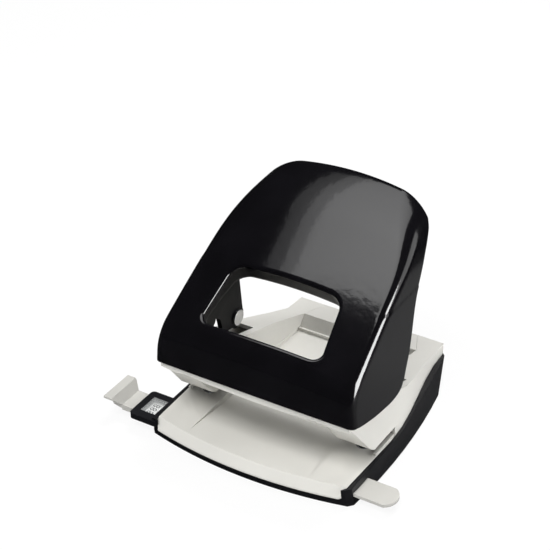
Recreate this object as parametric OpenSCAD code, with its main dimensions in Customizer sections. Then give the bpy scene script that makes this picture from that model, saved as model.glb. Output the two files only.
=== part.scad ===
// Two-hole desk punch with a pressed sheet handle, a sliding paper guide and a chip door.
// Millimetres. Origin: middle of the underside of the base. +X right, +Y rear, +Z up.
// The user's side is -Y. The two punch units stand at x = +hole_spacing/2 and -hole_spacing/2.

/* [Base] */
// Distance from the origin to the front edge of the base
base_front = 58; // [56:0.5:66]
// Distance from the origin to the rear edge of the base rim
base_rear = 61; // [60:0.5:70]
// Distance from the origin to the rear end of the flat bottom
base_foot_rear = 43; // [41:0.5:48]
// Thickness of the tray's wall and floor
tray_wall = 1.6; // [1.2:0.1:1.8]
// Radius of the bow of the front edge, seen from above
front_bow_r = 200; // [150:5:400]
// Height of the tray's floor above the table that the punch stands on
tray_lift = 0.4; // [0.2:0.1:0.8]

/* [Paper slot] */
// Distance between the two holes that the punch makes
hole_spacing = 80; // [80:0.5:82]
// Distance of the hole centres from the edge of the paper
hole_margin = 12; // [10:0.5:13]
// Diameter of a punched hole
hole_d = 5.5; // [5:0.1:6]
// Height of the table that the paper lies on
table_z = 9; // [8.8:0.1:9.6]
// Clear height of the paper slot
slot_h = 4.4; // [4.2:0.1:5]
// Place of the paper's stop along Y
paper_stop_y = -8; // [-10:0.5:-7]

/* [Handle] */
// Thickness of the handle's sheet
sheet_t = 1.5; // [1.2:0.1:1.8]
// Height of the handle's crown
handle_top_z = 107; // [100:0.5:115]
// Angle of the handle's upper face
face_tilt = 32; // [28:0.5:36]
// Radius of the crown across the handle
crown_r = 192; // [160:2:260]
// Place of the handle's pivot along Y
pivot_y = -38; // [-40:0.5:-37]
// Height of the handle's pivot
pivot_z = 36; // [35:0.5:37]
// Diameter of the pivot axle
axle_d = 5; // [4:0.1:5.4]

/* [Punch units] */
// Height of the top of a punch pin at rest
pin_top_z = 42; // [41:0.1:43]
// Width between the walls of a punch bracket
bracket_gap = 8; // [7.8:0.1:8.2]
// Thickness of a punch bracket's steel
bracket_t = 1.4; // [1.2:0.1:1.5]
// Diameter of the return spring's wire
spring_wire = 0.8; // [0.6:0.05:1]
// Number of turns of a return spring
spring_turns = 5; // [4:1:6]

/* [Paper guide] */
// Distance of the guide's stop face from the middle of the punch at rest
guide_stop_x = 68.5; // [67:0.5:70]
// Width of the guide's rail
rail_w = 12.6; // [11:0.1:13]
// Thickness of the guide's rail
rail_t = 1.2; // [1:0.1:1.4]
// Place of the middle of the rail along Y
rail_y = -42.9; // [-43.5:0.1:-42.5]
// Height of the stop above the rail's underside
stop_h = 7.5; // [6:0.5:9]

/* [Hidden] */
$fn = 64;

fit = 0.05;         // radial clearance of a running shaft
seat = 0.05;        // gap between faces that rest on each other
side_gap = 0.3;     // gap between neighbours that slide or swing past each other

pin_x = hole_spacing / 2;
pin_y = paper_stop_y - hole_margin;
base_half_w = pin_x + bracket_gap / 2 + bracket_t + 7.3;    // half width of the base, at the bottom
handle_half_w = base_half_w - 1.8;                          // half width of the handle's lower edge
slot_top_z = table_z + slot_h;
pin_r = hole_d / 2;
axle_r = axle_d / 2;
steel_z = table_z - 4;          // underside of the die plates and of the dies
die_r = pin_r + 2.75;           // radius of a cutting die
die_collar_r = pin_r + 0.8;     // radius of its collar, which stands level with the table
die_collar_z = table_z - 1.3;   // foot of that collar
deck_t = 2;                     // thickness of the deck
rim_half_w = base_half_w - 2.1; // half width of the tray's rim at its upper edge
deck_half_w = rim_half_w - 1.4; // half width of the deck
rim_rear_half_w = base_half_w - 12.3;   // half width of the tray's rim at its rear end
deck_rear_half_w = rim_rear_half_w - 1.6;   // half width of the deck and of the housing at the rear
taper_y = -12;                  // from here to the rear the sides draw in
rail_z = table_z - 4.4;         // underside of the guide's rail
rear_deck_z = 14.7;             // top of the rear deck
channel_half_w = pin_x - 7.7;   // half width of the channel between the arms
arm_taper_y = 25;               // from here to the rear the channel tapers
seam_half_w = pin_x - 9.8;      // half width of the rear deck at its front end
seam_rear_half_w = pin_x - 15;  // half width of the rear deck at its rear end
arm_in = channel_half_w + 0.1;  // inner face of an arm of the housing
arm_wall = 1.6;                 // wall of an arm

// Floor of the channel between the arms: dips behind the table, then climbs to the rear deck.
channel_t = 1.2;                // thickness of its floor and walls
channel_front = -base_front + 7;
channel_rear = base_rear - 17;
wall_rear = base_rear - 12.4;   // foot of the rear deck
channel_floor = [[channel_front, table_z], [pin_y + 4, table_z - 3.4], [10, table_z - 2.6],
    [channel_rear, table_z - 1.6], [wall_rear, rear_deck_z]];
channel_low_z = channel_floor[1][1] - channel_t;

// ---------- helpers ----------

// Points on an arc about [cx, cy], from angle a0 to a1.
function arc(cx, cy, r, a0, a1, n) =
    [for (i = [0:n]) [cx + r * cos(a0 + (a1 - a0) * i / n), cy + r * sin(a0 + (a1 - a0) * i / n)]];

// Points of an outline, mirrored to the other side of the Y axis and joined to the first half.
function both_sides(pts) =
    concat(pts, [for (i = [len(pts) - 1:-1:0]) [-pts[i][0], pts[i][1]]]);

// The same points in the opposite order.
function reversed(pts) = [for (i = [len(pts) - 1:-1:0]) pts[i]];

// Points on the right half of the front bow, whose middle lies at y = -front.
function bow(front, hw, n) =
    arc(0, front_bow_r - front, front_bow_r, 270, 270 + asin(hw / front_bow_r), n);

// Points along a side, from the front to the rear: an S that starts and ends parallel to the Y axis.
function flank(front_w, rear_w, y1) = [for (i = [0:6]) let (t = i / 6)
    [front_w - (front_w - rear_w) * t * t * (3 - 2 * t), taper_y + (y1 - taper_y) * t]];

module both() {
    children();
    mirror([1, 0, 0]) children();
}

// A profile in the Y-Z plane, extruded along X from x0 to x1.
module along_x(x0, x1) {
    translate([x0, 0, 0]) rotate([90, 0, 90]) linear_extrude(x1 - x0) children();
}

// An outline in the X-Z plane, extruded along Y from y0 to y1.
module along_y(y0, y1) {
    translate([0, y1, 0]) rotate([90, 0, 0]) linear_extrude(y1 - y0) children();
}

// An outline in the X-Y plane, extruded from z0 to z1.
module upright(z0, z1) {
    translate([0, 0, z0]) linear_extrude(z1 - z0) children();
}

module block(x0, x1, y0, y1, z0, z1) {
    translate([x0, y0, z0]) cube([x1 - x0, y1 - y0, z1 - z0]);
}

// A block with its four upright edges rounded.
module pad(x0, x1, y0, y1, z0, z1, r) {
    upright(z0, z1) offset(r, $fn = 24) translate([x0 + r, y0 + r])
        square([x1 - x0 - 2 * r, y1 - y0 - 2 * r]);
}

// A rod along X.
module rod_x(r, x0, x1, y, z) {
    translate([x0, y, z]) rotate([0, 90, 0]) cylinder(r = r, h = x1 - x0);
}

// A rod along Z.
module rod_z(r, x, y, z0, z1) {
    translate([x, y, z0]) cylinder(r = r, h = z1 - z0);
}

// A countersunk screw that points up, with its head's face at the origin.
module screw(len, r, head_r) {
    difference() {
        union() {
            cylinder(r = r, h = len);
            cylinder(r = head_r, h = 1.2);
        }
        for (a = [0, 90]) rotate(a) translate([-0.3, -head_r * 0.65, -1]) cube([0.6, head_r * 1.3, 1.7]);
    }
}

// ---------- base ----------

corner_r = 2.5;
side_bow_r = 340;
screw_r = 1.1;
screw_head_r = 2.2;

// Half outline of the tray's bottom, from the front middle to the rear.
function tray_bottom_half() = concat(
    bow(base_front, base_half_w - corner_r - 0.6, 8),
    arc(base_half_w - side_bow_r, -22, side_bow_r, asin(-27.5 / side_bow_r),
        asin((base_foot_rear + 19) / side_bow_r), 8),
    [[base_half_w - 8.5, base_foot_rear]]);

// Half outline of the tray's upper rim.
function tray_rim_half() = concat(
    bow(base_front + 0.6, rim_half_w - corner_r, 8),
    [[rim_half_w, -base_front + 8]], flank(rim_half_w, rim_rear_half_w + 0.6, base_rear - 4),
    arc(rim_rear_half_w - 3.6, base_rear - 4, 4, 10, 80, 3));

// Outline of the deck, smaller than the rim by a wall.
function deck_half(inset, rear) = concat(
    bow(base_front + 1.3 - inset, deck_half_w - 3 - inset, 8),
    [[deck_half_w - 0.9 - inset, -base_front + 7.5 + inset]],
    flank(deck_half_w - inset, deck_rear_half_w - inset, rear - inset));

border_w = 3.7;                        // width of the deck's sloped front border
border_z = [4.4, 5.2];                 // underside of the border, and top of its front edge

// The deck's table from the side, turned about the middle of the front bow: the border follows the bow.
module deck_form() {
    translate([0, front_bow_r - base_front, 0]) rotate_extrude(angle = 90, start = 225) polygon([
        [front_bow_r + 1.3, border_z[0]], [front_bow_r + 1.3, border_z[1]],
        [front_bow_r + 1.3 - border_w, table_z], [40, table_z], [40, table_z - deck_t],
        [front_bow_r - 5, table_z - deck_t], [front_bow_r - 3, border_z[0]]]);
}

// The space in front of the bow, which the deck's border takes.
module border_room() {
    upright(border_z[0] - 0.1, table_z + 1) intersection() {
        difference() {
            translate([-60, -70]) square([120, 40]);
            translate([0, front_bow_r - base_front]) circle(front_bow_r - 6.8, $fn = 200);
        }
        polygon(both_sides(deck_half(-seat, base_rear)));
    }
}

bracket_box_x = base_half_w + 9.8;     // outer end of the guide's box on the left
bracket_box_y = [rail_y - 10.4, rail_y + 9];
guide_box_z = 8;                       // top of the guide's box
rail_y0 = rail_y - rail_w / 2;
rail_y1 = rail_y + rail_w / 2;
rail_top_z = rail_z + rail_t;
tab_top_z = rail_z + 1.6;
box_low_z = rail_z + 0.6;              // underside of the guide's box and of its stop
plate_x = [-5.9, 6.2];                 // sides of a die plate, from the pin's axis
plate_y = [pin_y - 13, pin_y + 28];
window_x = [base_half_w - 0.9, base_half_w + 5.8];
window_y = [rail_y - 5, rail_y + 4.6];

door_x = base_half_w - 6.7;
door_y = [pin_y - 13.6, pin_y + 14];
chip_x = base_half_w - 4.7;             // inner width of the chip space
door_pin_r = 0.9;
door_pin_z = tray_lift + 1.1;

foot_x = base_half_w - 11.2;
foot_y = -base_front + 10.8;
foot_r = 4;
mat_y = [-2, 38];

base_screw_y = [-base_front + 5, base_foot_rear - 2];
base_screw_x = [20, 20];

// The passage of the rail through the tray, from one side to the other.
module rail_passage() {
    block(-70, 60, rail_y0 - side_gap, rail_y1 + side_gap, rail_z - side_gap, tab_top_z + side_gap);
}

module base_tray() {
    color([0.05, 0.05, 0.055]) {
        difference() {
            union() {
                difference() {
                    hull() {
                        upright(tray_lift, tray_lift + 0.4) polygon(both_sides(tray_bottom_half()));
                        upright(table_z - 0.4, table_z) polygon(both_sides(tray_rim_half()));
                    }
                    // room inside; its rear end climbs with the underside
                    intersection() {
                        upright(0, table_z + 1) polygon(both_sides(deck_half(3, base_rear)));
                        along_x(-60, 60) polygon([
                            [-70, tray_lift + tray_wall], [base_foot_rear - 1, tray_lift + tray_wall],
                            [base_rear - 4, table_z - deck_t - seat], [base_rear, table_z - deck_t - seat],
                            [base_rear, table_z + 1], [-70, table_z + 1]]);
                    }
                    upright(table_z - deck_t - seat, table_z + 1)
                        polygon(both_sides(deck_half(-seat, base_rear - 0.6)));
                    block(-deck_rear_half_w, deck_rear_half_w, base_rear - 2, base_rear + 1,
                        table_z - deck_t - seat, table_z + 1);
                }
                // box of the paper guide
                guide_box();
                // walls beside the rail
                for (y = [rail_y0 - side_gap - 1.4, rail_y1 + side_gap])
                    block(-base_half_w + 4.2, base_half_w - 4.2, y, y + 1.4,
                        tray_lift + 0.5, rail_top_z + 0.1);
                // walls of the chip space
                for (y = [door_y[0] - 1.6, door_y[1] + 1]) {
                    block(-chip_x, chip_x, y, y + 1.4, tray_lift + 0.5, channel_low_z - seat);
                    both() block(channel_half_w + side_gap, chip_x, y, y + 1.4,
                        tray_lift + 0.5, steel_z - seat);
                }
                // pillars for the screws
                both() for (i = [0, 1])
                    rod_z(2.9, base_screw_x[i], base_screw_y[i], tray_lift + 0.5, i == 0 ? 4.2 : 5.0);
            }
            // the deck's front border laps over the tray here
            border_room();
            rail_passage();
            // opening of the chip door, with its hinge
            block(-door_x - side_gap, door_x + side_gap, door_y[0] - side_gap, door_y[1] - 1,
                -1, tray_lift + tray_wall + 0.05);
            block(-door_x - side_gap, door_x + side_gap, door_y[1] - 2, door_y[1] + 1,
                -1, tray_lift + tray_wall + 1.2);
            rod_x(door_pin_r + fit, -door_x - 2.4, door_x + 2.4, door_y[1] - 0.6, door_pin_z);
            // finger notch at the front edge of the door
            block(-9, 9, door_y[0] - 1.5, door_y[0], -1, tray_lift + 1);
            // pocket of the rubber mat
            pad(-30 - 0.1, 30 + 0.1, mat_y[0] - 0.1, mat_y[1] + 0.1, -1, 1.2, 3);
            // screw holes
            both() for (i = [0, 1]) {
                rod_z(screw_r + 0.3, base_screw_x[i], base_screw_y[i], 0, 7);
                rod_z(screw_head_r + 0.2, base_screw_x[i], base_screw_y[i], -1, 2.1);
            }
            // seats of the die plates
            both() block(pin_x - 4, pin_x + plate_x[1] + 0.2, plate_y[0] - 0.2, plate_y[1] + 0.2,
                steel_z - seat, table_z + 1);
            // pockets of the front feet
            both() rod_z(foot_r + 0.1, foot_x, foot_y, -1, 1.2);
        }
    }
}

module guide_box() {
    difference() {
        union() {
            pad(-bracket_box_x, -base_half_w + 5.2, bracket_box_y[0], bracket_box_y[1],
                box_low_z, guide_box_z, 2);
            block(-base_half_w + 2.2, -base_half_w + 5.5, bracket_box_y[0] + 1, bracket_box_y[1] - 1,
                box_low_z, table_z);
        }
        block(-window_x[1], -window_x[0], window_y[0], window_y[1], rail_z, guide_box_z + 1);
        block(-window_x[1] - 0.8, -window_x[0] + 0.8, window_y[0] - 0.8, window_y[1] + 0.8,
            guide_box_z - 0.9, guide_box_z + 1);
        // the deck's side
        upright(tray_lift + tray_wall, table_z + 1) polygon(both_sides(deck_half(-0.15, base_rear)));
    }
}

module rear_mat() {
    color([0.09, 0.09, 0.09]) pad(-30, 30, mat_y[0], mat_y[1], 0, 1.2 - seat, 3);
}

module front_feet() {
    color([0.09, 0.09, 0.09]) both() rod_z(foot_r, foot_x, foot_y, 0, 1.2 - seat);
}

module chip_door() {
    color([0.07, 0.07, 0.075]) {
        difference() {
            union() {
                block(-door_x, door_x, door_y[0], door_y[1] - 1.3, tray_lift, tray_lift + tray_wall);
                rod_x(1.0, -door_x, door_x, door_y[1] - 0.6, door_pin_z);
                block(-door_x, door_x, door_y[1] - 1.6, door_y[1] - 0.6, tray_lift + 0.1, tray_lift + 1.3);
                // pins of the hinge
                rod_x(door_pin_r, -door_x - 2, door_x + 2, door_y[1] - 0.6, door_pin_z);
                // ribs
                for (x = [-30, 30])
                    block(x - 0.6, x + 0.6, door_y[0] + 2, door_y[1] - 4, tray_lift + 1, tray_lift + 2.6);
            }
            // grip groove
            block(-8, 8, door_y[0] + 3, door_y[0] + 4.2, 0, tray_lift + 0.6);
        }
    }
}

// ---------- deck ----------

module deck() {
    color([0.83, 0.83, 0.81]) {
        difference() {
            union() {
                // table and side wings
                intersection() {
                    upright(0, table_z) polygon(both_sides(deck_half(0, base_rear - 0.6)));
                    deck_form();
                }
                // middle channel and rear deck
                intersection() {
                    along_x(-channel_half_w, channel_half_w) polygon(concat(
                        channel_floor,
                        [[base_rear - 0.6, rear_deck_z], [base_rear - 0.6, table_z - deck_t],
                         [base_rear - 5, table_z - deck_t]],
                        [for (i = [3:-1:0]) channel_floor[i] - [0, channel_t]]));
                    upright(0, 20) polygon(both_sides([
                        [channel_half_w, -52], [channel_half_w, arm_taper_y], [seam_half_w, wall_rear],
                        [seam_rear_half_w, base_rear - 0.6]]));
                }
                // side walls of the channel, down to its floor
                both() along_x(channel_half_w - channel_t, channel_half_w) polygon(concat(
                    [[channel_rear, table_z]], [for (i = [3:-1:0]) channel_floor[i] - [0, channel_t]],
                    [channel_floor[0]]));
                // strips at the sides, before the paper's stop
                both() block(deck_half_w - 2, deck_half_w - 0.5, pin_y - 5, paper_stop_y,
                    table_z - 1, table_z + 1.2);
                // bosses for the screws
                both() for (i = [0, 1])
                    rod_z(2, base_screw_x[i], base_screw_y[i],
                        i == 0 ? 4.25 : 5.05, i == 0 ? table_z - 1 : 8);
            }
            // the channel itself
            along_x(-channel_half_w + channel_t, channel_half_w - channel_t)
                polygon(concat([for (i = [0:3]) channel_floor[i]],
                    [[channel_rear, 12], [channel_front, 12]]));
            // dies, and the feet of the punch brackets
            both() {
                rod_z(die_r + seat, pin_x, pin_y, 0, die_collar_z + seat);
                rod_z(die_collar_r + seat, pin_x, pin_y, 0, 20);
                block(pin_x - bracket_gap / 2 - bracket_t - 0.2, pin_x + bracket_gap / 2 + bracket_t + 0.2,
                    paper_stop_y + 0.6, bracket_end_y + 0.2, 0, 20);
            }
            // room for the rail of the guide
            rail_passage();
            // holes of the screws
            both() for (i = [0, 1]) rod_z(screw_r + seat, base_screw_x[i], base_screw_y[i], 0, 6.6);
        }
    }
}

// ---------- housing ----------

// Side profile of an arm: jaw, top slope and rear end. The edge that rests on the deck comes last.
function arm_profile() = [
    [base_rear - 0.6, table_z + seat], [base_rear - 0.6, rear_deck_z], [wall_rear, rear_deck_z],
    [18, 24.3], [4, 28.5], [-12, 33.5], [pivot_y + 8, pivot_z + 6.8], [pivot_y - 6, pivot_z + 6.8],
    [pivot_y - 8.2, pivot_z + 4],
    [pivot_y - 8.2, pivot_z + 0.2], [pin_y - 10.4, slot_top_z + 3], [pin_y - 7, slot_top_z + 0.8],
    [paper_stop_y, slot_top_z + 0.8], [paper_stop_y, table_z + seat]];

// Side profile of the hollow inside an arm.
function arm_hollow() = [
    [base_rear - 2.4, 0], [base_rear - 2.4, rear_deck_z - 1.8], [48, rear_deck_z - 1.8],
    [17.2, 22.4], [3, 26.7], [-13, 31.6], [pivot_y + 7, pivot_z + 5], [pivot_y - 5, pivot_z + 5],
    [pivot_y - 5, pivot_z - 0.6],
    [pin_y - 8.2, slot_top_z + 2.6], [pin_y - 6, 0]];

// Outline of an arm from above.
function arm_plan(wall) = [
    [arm_in + wall, -60], [arm_in + wall, arm_taper_y], [seam_half_w + 0.1 + wall, wall_rear],
    [seam_rear_half_w + 0.1 + wall, base_rear - 0.6],
    each reversed(flank(deck_half_w + 0.1 - wall, deck_rear_half_w - wall, base_rear - 0.6)),
    [deck_half_w + 0.1 - wall, -60]];

// Outline of the housing from the front: the sides lean inwards.
function arm_front(wall) = [
    [0, 0], [deck_half_w + 0.1 - wall, 0], [deck_half_w + 0.1 - wall, table_z + 1.5],
    [deck_half_w - 2.4 - wall, pivot_z + 8], [0, pivot_z + 8]];

// One arm: a shell that is open below.
module arm() {
    difference() {
        intersection() {
            along_x(0, 55) polygon(arm_profile());
            upright(0, 50) polygon(arm_plan(0));
            along_y(-70, 70) polygon(arm_front(0));
        }
        intersection() {
            along_x(0, 55) polygon(arm_hollow());
            upright(-1, 50) polygon(arm_plan(arm_wall));
            along_y(-70, 70) polygon(arm_front(arm_wall));
        }
    }
}

// Bridge across the front, under the lip of the handle. The axle runs inside it.
module bridge() {
    w = arm_in + 1;
    a = asin(w / front_bow_r);
    difference() {
        intersection() {
            along_x(-w, w) polygon([
                [-55, pivot_z + 0.2], [-55, pivot_z + 5.2], [pivot_y + 6, pivot_z + 5.2],
                [pivot_y + 6, pivot_z - 3.4], [pivot_y - 0.4, pivot_z - 4.4],
                [pivot_y - 8.2, pivot_z + 0.2]]);
            upright(0, 60) polygon(concat(
                arc(0, front_bow_r + pivot_y - 9.6, front_bow_r, 270 - a, 270 + a, 12), [[w, 0], [-w, 0]]));
        }
        // hollow around the axle, open at the rear
        along_x(-w - 1, w + 1) polygon([
            [pivot_y - 6, pivot_z + 0.5], [pivot_y - 6, pivot_z + 3.6], [pivot_y + 9, pivot_z + 3.6],
            [pivot_y + 9, pivot_z - 2], [pivot_y, pivot_z - 3]]);
    }
}

// Band across the full width, close under the lip of the handle, whose edge and bow it follows.
module lip_band() {
    bow_r = crown_r / sin(face_tilt);
    intersection() {
        along_x(-55, 55) polygon([
            [-60, pivot_z], [-60, 50], [pivot_y - 8, 50], [pivot_y - 8, pivot_z - 0.1]]);
        translate([0, lip_y + sheet_t + side_gap + bow_r, 0]) upright(0, 60) circle(bow_r, $fn = 360);
        along_y(-70, 70) polygon(both_sides(concat(
            [[0, 0]], lip_edge(side_gap + 0.05), [[handle_half_w, 0]])));
        along_y(-70, 70) polygon(both_sides(arm_front(0)));
    }
}

module housing() {
    color([0.84, 0.84, 0.82]) difference() {
        union() {
            both() arm();
            bridge();
            lip_band();
        }
        // well over each punch unit, behind the front of the jaw
        both() along_x(pin_x - bracket_gap / 2 - 0.4, pin_x + bracket_gap / 2 + 0.4) polygon([
            [pin_y - 6, 20], [pivot_y + 3, pivot_z], [pivot_y + 3, 60], [10.5, 60], [10.5, 20]]);
        // slots for the press frame
        both() along_x(pin_x - 2, pin_x + 2) polygon([
            [pivot_y - 5.6, 60], [pivot_y - 5.6, pivot_z - 0.5], [pivot_y - 1.5, pivot_z - 6],
            [0, pivot_z - 6], [0, 60]]);
        // holes of the axle in the inner walls
        rod_x(axle_r + 0.4, -pin_x, pin_x, pivot_y, pivot_z);
    }
}

// ---------- punch units ----------

bracket_end_y = 4;              // rear end of a punch bracket
bracket_screw_y = [-3.8, 1.2];

module die_plate(side) {
    color([0.62, 0.63, 0.65]) difference() {
        pad(side * (side < 0 ? pin_x + plate_x[1] : pin_x + plate_x[0]),
            side * (side < 0 ? pin_x + plate_x[0] : pin_x + plate_x[1]),
            plate_y[0], plate_y[1], steel_z, table_z - deck_t - seat, 2);
        rod_z(die_r + seat, side * pin_x, pin_y, 0, 20);
        for (y = bracket_screw_y) rod_z(screw_r + seat, side * pin_x, y, 0, 20);
    }
}

module cutting_die(side) {
    color([0.55, 0.56, 0.58]) difference() {
        union() {
            rod_z(die_r, side * pin_x, pin_y, steel_z, die_collar_z);
            rod_z(die_collar_r, side * pin_x, pin_y, steel_z, table_z);
        }
        rod_z(pin_r + fit, side * pin_x, pin_y, 0, 20);
        rod_z(pin_r + 0.6, side * pin_x, pin_y, 0, steel_z + 1.2);
    }
}

// One wall of a punch bracket, seen from the side.
module bracket_wall() {
    difference() {
        union() {
            polygon([
                [paper_stop_y + 0.8, table_z - deck_t], [bracket_end_y, table_z - deck_t],
                [bracket_end_y, 16], [-3, 22.5], [-12, 28], [pivot_y + 4, pivot_z + 2],
                [pivot_y - 2, pivot_z - 4], [pin_y - 6.2, 19],
                [pin_y - 5.4, slot_top_z], [paper_stop_y + 0.8, slot_top_z]]);
            translate([pivot_y, pivot_z]) circle(4.3);
        }
        translate([pivot_y, pivot_z]) circle(axle_r + fit);
    }
}

module punch_bracket(side) {
    x0 = side * pin_x - bracket_gap / 2;
    x1 = side * pin_x + bracket_gap / 2;
    color([0.66, 0.67, 0.69]) difference() {
        union() {
            along_x(x0 - bracket_t, x0) bracket_wall();
            along_x(x1, x1 + bracket_t) bracket_wall();
            // guide plates and foot
            block(x0 - 0.1, x1 + 0.1, pin_y - 5.4, pin_y + 5.4, slot_top_z, slot_top_z + 2);
            block(x0 - 0.1, x1 + 0.1, pin_y - 5, pin_y + 6, 24, 26);
            block(x0 - 0.1, x1 + 0.1, paper_stop_y + 0.8, bracket_end_y, table_z - deck_t, table_z - 0.4);
        }
        rod_z(pin_r + fit, side * pin_x, pin_y, 10, 30);
        for (y = bracket_screw_y) rod_z(screw_r + 0.3, side * pin_x, y, 0, 20);
    }
}

pin_tip_z = slot_top_z + 0.2;
washer_z = 39;
clip_z = washer_z + 1;

module punch_pin(side) {
    color([0.72, 0.73, 0.75]) difference() {
        union() {
            rod_z(pin_r, side * pin_x, pin_y, pin_tip_z, clip_z);
            rod_z(pin_r - 0.6, side * pin_x, pin_y, clip_z - 0.1, clip_z + 0.9);
            rod_z(pin_r, side * pin_x, pin_y, clip_z + 0.8, pin_top_z);
        }
        // hollow-ground cutting edge
        translate([side * pin_x, pin_y - pin_r - 3, pin_tip_z - 1.2])
            rotate([0, 90, 90]) translate([0, 0, 0]) cylinder(r = 2.2, h = 2 * pin_r + 6);
    }
}

module spring_washer(side) {
    color([0.8, 0.8, 0.82]) difference() {
        rod_z(3.7, side * pin_x, pin_y, washer_z, clip_z);
        rod_z(pin_r + fit, side * pin_x, pin_y, 30, 50);
    }
}

module pin_clip(side) {
    color([0.5, 0.5, 0.52]) difference() {
        rod_z(3.5, side * pin_x, pin_y, clip_z + seat, clip_z + 0.75);
        rod_z(pin_r - 0.6 + 0.03, side * pin_x, pin_y, 30, 50);
        block(side * pin_x - 1.6, side * pin_x + 1.6, pin_y + 1, pin_y + 5, 30, 50);
    }
}

// A return spring: half turns of torus, tilted one way and the other so that the coil climbs.
module return_spring(side) {
    r = pin_r + 0.25 + spring_wire / 2;
    z0 = 26 + seat + spring_wire / 2;
    z1 = washer_z - seat - spring_wire / 2;
    rise = (z1 - z0) / (2 * spring_turns);
    tilt = asin(rise / (2 * r));
    color([0.75, 0.75, 0.77]) translate([side * pin_x, pin_y, z0])
        for (i = [0:2 * spring_turns - 1])
            translate([0, 0, rise * (i + 0.5)])
                rotate([0, i % 2 == 0 ? tilt : -tilt, 0])
                    rotate_extrude(angle = 180, start = i % 2 == 0 ? 0 : 180)
                        translate([r, 0]) circle(spring_wire / 2, $fn = 20);
}

axle_half = pin_x + bracket_gap / 2 + bracket_t + 0.05;
axle_clip_x = pin_x + bracket_gap / 2 - 0.85;     // inner face of a clip on the axle

module pivot_axle() {
    color([0.75, 0.76, 0.78]) difference() {
        rod_x(axle_r, -axle_half, axle_half, pivot_y, pivot_z);
        both() difference() {
            rod_x(axle_r + 1, axle_clip_x - 0.05, axle_clip_x + 0.75, pivot_y, pivot_z);
            rod_x(axle_r - 0.5, 0, 60, pivot_y, pivot_z);
        }
    }
}

module axle_clips() {
    color([0.5, 0.5, 0.52]) both() difference() {
        rod_x(axle_r + 1.3, axle_clip_x, axle_clip_x + 0.7, pivot_y, pivot_z);
        rod_x(axle_r - 0.5 + 0.03, 0, 60, pivot_y, pivot_z);
        translate([30, pivot_y - 1.5, pivot_z]) cube([20, 3, 6]);
    }
}

// ---------- handle ----------

// Middle line of the handle's outer face, from the lip up and back: three arcs, each tangent to the next.
front_r = 18.4;
lip_y = pivot_y - 14.8;
lip_z = pivot_z + 3;            // height of the lip's corners
lip_rise = 2.6;                 // the lip is this much higher in the middle
face_r = 745;
face_bow = 2.4;                 // half of the angle that the face's arc spans
top_r = 75;
knee = arc(lip_y + front_r, lip_z + 10.6, front_r, 180, 90 + face_tilt + face_bow, 6);
knee_end = knee[len(knee) - 1];
face_c = knee_end - face_r * [cos(90 + face_tilt + face_bow), sin(90 + face_tilt + face_bow)];
face = arc(face_c[0], face_c[1], face_r, 90 + face_tilt + face_bow, 90 + face_tilt - face_bow, 4);
face_end = face[len(face) - 1];
crown_c = face_end - top_r * [cos(90 + face_tilt - face_bow), sin(90 + face_tilt - face_bow)];
crown = arc(crown_c[0], crown_c[1], top_r, 90 + face_tilt - face_bow, 90 + face_tilt - 29, 5);

function face_line() = concat([[lip_y, lip_z - 8]], knee, [face[1], face[2], face[3]], crown);

// The same point along and across the tilted face.
function tilted(p) = [
    p[0] * cos(face_tilt) + p[1] * sin(face_tilt), -p[0] * sin(face_tilt) + p[1] * cos(face_tilt)];

crown_axis = tilted(knee_end)[1] - crown_r;

module tilt_frame() {
    rotate([face_tilt, 0, 0]) rotate([0, -90, -90]) children();
}

// Solid under the crowned face, drawn in by the given wall.
module crowned(wall) {
    tilt_frame() translate([crown_axis, 0, 0])
        rotate_extrude(angle = 44, start = -22)
            offset(delta = -wall) polygon(concat(
                [for (p = face_line()) let (q = tilted(p)) [q[1] - crown_axis, q[0]]],
                [[crown_r - 110, tilted(crown[len(crown) - 1])[0] + 20],
                 [crown_r - 110, tilted([lip_y, lip_z - 8])[0] - 20]]));
}

// Outline from the front: the lip's arch, then the flanges, which lean in towards the round top.
shoulder_r = 36.2;
function lip_edge(drop) = [for (i = [0:4]) [(handle_half_w - 2.2) * i / 4,
    lip_z + lip_rise * (1 - pow(i / 4, 2)) - drop]];
function flange_half(wall) = concat(
    lip_edge(0.01),
    [[handle_half_w - 2.1, 20], [handle_half_w - wall, 20], [handle_half_w - 0.6 - wall, lip_z],
     [handle_half_w - 4 - wall, handle_top_z - 29]],
    arc(handle_half_w - 3.7 - shoulder_r, handle_top_z - 31.5, shoulder_r - wall, 7, 58, 8),
    [[0, handle_top_z + 20 - wall]]);

module front_view(wall) {
    along_y(-80, 70) polygon(both_sides(flange_half(wall)));
}

// Side profile of the flanges.
module flange_profile() {
    polygon(concat(
        [[-70, 120], [-70, lip_z], [lip_y + 3, lip_z], [pivot_y + 4, pivot_z - 1.2]],
        arc(pivot_y + 24, pivot_z + 9, 12, 262, 325, 6),
        [[2.6, 50], [9, 69], [14, 77]],
        arc(14, handle_top_z - 1, 19.8, -72, -8, 6),
        [[36.2, handle_top_z - 2], [38, handle_top_z], [38, 120]]));
}

// Outline of the finger window, drawn in the tilted plane: across and along the face.
window_lo = tilted(knee_end)[0] + 0.4;
window_hi = window_lo + 30.5;
window_half_w = 29.3;
rim_depth = 5.2;                // depth of the window's turned-in rim

module window_outline(grow) {
    offset(grow) polygon(both_sides(concat(
        [[0, window_lo]],
        arc(window_half_w - 4.5, window_lo + 4.7, 4.5, 270, 355, 5),
        arc(window_half_w - 9, window_hi - 7.4, 7, 8, 78, 5),
        [[0, window_hi]])));
}

module window_hole(grow) {
    rotate([face_tilt, 0, 0]) translate([0, 0, 20]) linear_extrude(120) window_outline(grow);
}

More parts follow.
